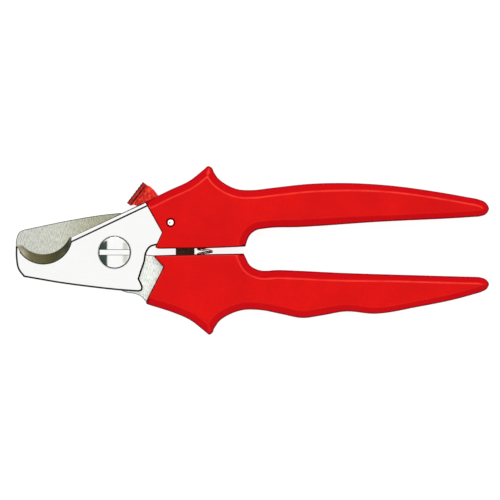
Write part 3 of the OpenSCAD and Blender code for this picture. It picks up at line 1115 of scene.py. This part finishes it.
# The web that joins the pad to the lever, from the pivot.
WEB = [(7.3, 19.9), (8, 18.9), (9, 18.5), (12.4, 19.4), (15.2, 20.9), (17.6, 22.4), (17, 23.3),
       (15.8, 24.9), (14.2, 26.4), (12.2, 27.3)]
WEB_LOW, WEB_HIGH = 2.35, 5.75
WEB_ROUND = 0.7
# The groove behind the ribs: how far back it starts and ends, and how deep it goes from each side.
GROOVE = 1.45, 2.2
GROOVE_TOP, GROOVE_BOTTOM = 4.6, 0.9


def make_catch_pin():
    """The bright pin: riveted at the back, domed and dimpled at the front."""
    low, high = (v.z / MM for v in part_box("catch_pin"))
    shank, head, dome, dimple = 1.35, 1.55, 0.8, 0.3
    profile = [(0, low), (1.2, low), (1.5, low + 0.05), (1.85, low + 0.22), (shank, low + 0.25)]
    profile += [(shank, high - dome - 0.3), (head, high - dome - 0.15)]
    for k in range(12):
        swing = math.pi / 2 * k / 12
        profile.append((head * math.cos(swing), high - dome + dome * math.sin(swing)))
    profile += [(0.7 * dimple, high - 0.02), (0, high - dimple)]
    pin = lathe("catch_pin_shape", profile, CATCH, [MATERIALS["bright"]], 64)
    place(pin, "upper", "bright_steel", "catch_pin")


def make_flat_washer(name, node, radius):
    low, high = (v.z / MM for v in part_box(node))
    edge = 0.08
    profile = [(PIN_BORE, low), (radius - edge, low), (radius, low + edge), (radius, high - edge),
               (radius - edge, high), (PIN_BORE, high)]
    washer = lathe(name, profile, CATCH, [MATERIALS["steel"]], 64, closed=True)
    place(washer, "upper", "plain_steel", node)


def make_lever():
    bm = whole_faces("catch_lever")
    chamfer(bm, convex_edges(bm), LEVER_CHAMFER)
    lever = from_bmesh("catch_lever_shape", bm, [MATERIALS["dark"], MATERIALS["dark"]])
    place(lever, "catch", "dark_steel", "catch_lever")


def soft_prism(name, outline, low, high, edge, steps):
    """A plate of the pad's red over an outline, with rounded upper and lower edges."""
    loop = anticlockwise(np.array(outline, float))
    inward = mitres(loop)
    swings = [math.pi / 2 * k / steps for k in range(steps + 1)]
    rows = [(edge * (1 - math.sin(a)), low + edge * (1 - math.cos(a))) for a in swings]
    rows += [(edge * (1 - math.sin(a)), high - edge * (1 - math.cos(a))) for a in swings[::-1]]
    vertices = []
    for d, z in rows:
        vertices += [(*p, z) for p in loop + inward * d]
    n = len(loop)
    faces = caps(len(rows), n) + bands(len(rows), n)
    plate = make_object(name, vertices, faces, [MATERIALS["pad"]], PAD_SHARP)
    triangulate(plate.data)
    return plate


def pad_outline():
    """The pad from above: a row of ribs, then a plain rounded back."""
    length = np.linalg.norm(PAD_LOW - PAD_TOP)
    outline = []
    steps = PAD_RIBS * RIB_STEPS
    for i in range(steps + 1):
        depth = RIB_H * (0.5 - 0.5 * math.cos(2 * math.pi * PAD_RIBS * i / steps))
        outline.append(PAD_TOP + PAD_ALONG * length * i / steps + PAD_BACK * depth)
    outline += [PAD_LOW + PAD_BACK * PAD_DEPTH * 0.8,
                PAD_LOW + PAD_BACK * (PAD_DEPTH + 0.4) - PAD_ALONG,
                PAD_LOW * 0.5 + PAD_TOP * 0.5 + PAD_BACK * (PAD_DEPTH + 0.3),
                PAD_TOP + PAD_BACK * PAD_DEPTH]
    return offset_from_pivot(outline)


def cut_groove(pad, low, high):
    """A groove right along the back of the ribs, between two heights."""
    near, far = GROOVE
    beyond = PAD_ALONG * 2
    groove = [PAD_TOP + PAD_BACK * near - beyond, PAD_TOP + PAD_BACK * far - beyond,
              PAD_LOW + PAD_BACK * far + beyond, PAD_LOW + PAD_BACK * near + beyond]
    cut(pad, prism("groove", offset_from_pivot(groove), low, high))


def make_thumb_pad():
    """The ribbed pad with its glossy web behind it."""
    low, high = (v.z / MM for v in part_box("catch_thumb_pad"))
    pad = soft_prism("thumb_pad_shape", pad_outline(), low, high, PAD_ROUND, 3)
    cut(pad, soft_prism("web", offset_from_pivot(WEB), WEB_LOW, WEB_HIGH, WEB_ROUND, 5), "UNION")
    cut_groove(pad, high - GROOVE_TOP, high + 1)
    cut_groove(pad, low - 1, low + GROOVE_BOTTOM)
    replace_materials(pad.data, [MATERIALS["pad"]], [0] * len(pad.data.polygons))
    shade(pad.data, PAD_SHARP, True)
    place(pad, "catch", "red_pad", "catch_thumb_pad")


# ------------ spring

WIRE_R = 0.5
COIL_R = 2.8
SPRING_TURNS = 8
CLOSED_TURNS = 1.0
CLOSED_PITCH = 0.9
WIRE_SIDES = 14
STEPS_PER_TURN = 30


def coil_height(turn, low, high):
    """How far along the spring the wire is after some turns; the end turns lie closed."""
    pitch_share = np.clip((turn - CLOSED_TURNS) / (SPRING_TURNS - 2 * CLOSED_TURNS), 0, 1)
    first = min(turn, CLOSED_TURNS)
    last = max(turn - SPRING_TURNS + CLOSED_TURNS, 0)
    dead = 2 * WIRE_R * CLOSED_PITCH
    y = low + WIRE_R * 0.5 + first * dead
    return y + (pitch_share * (high - low - WIRE_R - 2 * CLOSED_TURNS * dead) + last * dead)


def coil_points(x, low, high):
    """Rings of points round the wire; the ends are ground flat."""
    vertices = []
    steps = SPRING_TURNS * STEPS_PER_TURN
    for s in range(steps + 1):
        turn = SPRING_TURNS * s / steps
        y = coil_height(turn, low, high)
        angle = 2 * math.pi * turn
        for swing in (2 * math.pi * k / WIRE_SIDES for k in range(WIRE_SIDES)):
            r = COIL_R + WIRE_R * math.cos(swing)
            wire_y = min(max(y + WIRE_R * math.sin(swing), low), high)
            vertices.append((x + r * math.cos(angle), wire_y, MIDDLE + r * math.sin(angle)))
    return vertices


def make_spring():
    """A pressed coil between the handles."""
    x, low = from_pivot(SPRING_X, SPRING_LOW + 0.02)
    high = from_pivot(SPRING_X, SPRING_HIGH - 0.02)[1]
    vertices = coil_points(x, low, high)
    rings = len(vertices) // WIRE_SIDES
    faces = caps(rings, WIRE_SIDES) + bands(rings, WIRE_SIDES)
    spring = make_object("spring_coil", vertices, faces, [MATERIALS["spring"]], 60)
    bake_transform(spring)
    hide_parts("opening_spring")


make_handles()
make_front_blade()
make_rear_blade()
make_screw()
make_washer()
make_nut()
make_catch_pin()
make_flat_washer("friction_washer_shape", "catch_friction_washer", 3.8)
make_flat_washer("pin_washer_shape", "catch_pin_washer", 2.9)
make_lever()
make_thumb_pad()
make_spring()


# ------------ stage
# The floor is in millimetres; the light and the camera are in metres.

FLOOR_HALF = 2500
FLOOR_DARK, FLOOR_LIGHT = (0.21, 0.21, 0.21), (0.23, 0.23, 0.23)
FLOOR_GLOW = 0.88
SKY_STRENGTH = 1.4
# How bright the sky is, from straight down (0) through the horizon to straight up (1).
SKY = [(0.0, 0.08), (0.25, 0.14), (0.45, 0.5), (0.6, 1.05), (0.75, 1.3), (0.9, 1.2), (0.95, 1.03),
       (1, 1.03)]
# Cards that the screw's head mirrors: (low, high, softness) across and along the sky, and colour.
DARK_CARD = (-0.42, -0.185, 0.015), (-0.32, 0.26, 0.03), (0.03, 0.05, 0.045)
PALE_CARD = (0.125, 0.262, 0.03), (-0.26, 0.24, 0.05), (0.49, 0.505, 0.46)
LENS = 250
SENSOR = 36
VIEW_WIDTH = 0.2
VIEW_LEVEL = 0.0095
VIEW_MIDDLE = -0.00085, 0.00017


def make_floor():
    mat, bsdf = new_material("studio_floor", specular=0.0)
    tone = ramp(mat, noise(mat, millimetres(mat), 0.01, 2), [(0.3, FLOOR_DARK), (0.7, FLOOR_LIGHT)])
    link(mat, tone, bsdf.inputs["Base Color"])
    bsdf.inputs["Roughness"].default_value = 0.9
    bsdf.inputs["Emission Color"].default_value = (1, 1, 1, 1)
    bsdf.inputs["Emission Strength"].default_value = FLOOR_GLOW
    half = FLOOR_HALF
    corners = [(-half, -half, 0), (half, -half, 0), (half, half, 0), (-half, half, 0)]
    make_object("studio_floor", corners, [[0, 1, 2, 3]], [mat])


def make_sky():
    """Soft studio dome: even overhead, brighter around, dim near the horizon."""
    world = bpy.data.worlds.new("studio")
    bpy.context.scene.world = world
    world.use_nodes = True
    world.node_tree.nodes.clear()
    back = add_node(world, "Background")
    link(world, back.outputs[0], add_node(world, "OutputWorld").inputs["Surface"])
    way = parts_of(world, add_node(world, "TexCoord").outputs["Generated"])
    stops = [(position, [value / SKY_STRENGTH] * 3) for position, value in SKY]
    sky = ramp(world, way["Z"], stops)
    for across, along, colour in (DARK_CARD, PALE_CARD):
        sky = blend_colours(world, card_shape(world, way, across, along), sky, colour)
    link(world, sky, back.inputs["Color"])
    back.inputs["Strength"].default_value = SKY_STRENGTH


def window(mat, value, low, high, soft):
    """1 between low and high, and 0 outside, with soft edges."""
    rise = remap(mat, value, low, low + soft, 0, 1)
    return product(mat, rise, remap(mat, value, high, high - soft, 0, 1))


def card_shape(world, way, across, along):
    """1 inside a card hung in the sky, 0 elsewhere."""
    above = combine(world, "GREATER_THAN", way["Z"], 0)
    return product(world, window(world, way["X"], *across), window(world, way["Y"], *along), above)


def make_light():
    """One long soft strip behind the handles, for the light line on their upper edges."""
    data = bpy.data.lights.new("strip", "AREA")
    data.shape = "RECTANGLE"
    data.size = 1.4
    data.size_y = 0.2
    data.energy = 4.5
    lamp = add_object("strip", data)
    lamp.location = (0, 0.46, 1.0)
    lamp.rotation_euler = (-lamp.location).to_track_quat("-Z", "Y").to_euler()


def make_camera():
    """Straight above, through a long lens."""
    data = bpy.data.cameras.new("camera")
    data.lens = LENS
    data.sensor_width = SENSOR
    data.clip_start = 0.05
    camera = add_object("camera", data)
    camera.location = (*VIEW_MIDDLE, VIEW_LEVEL + VIEW_WIDTH * data.lens / data.sensor_width)
    bpy.context.scene.camera = camera


make_floor()
make_sky()
make_light()
make_camera()
bpy.context.scene.view_settings.view_transform = "Standard"
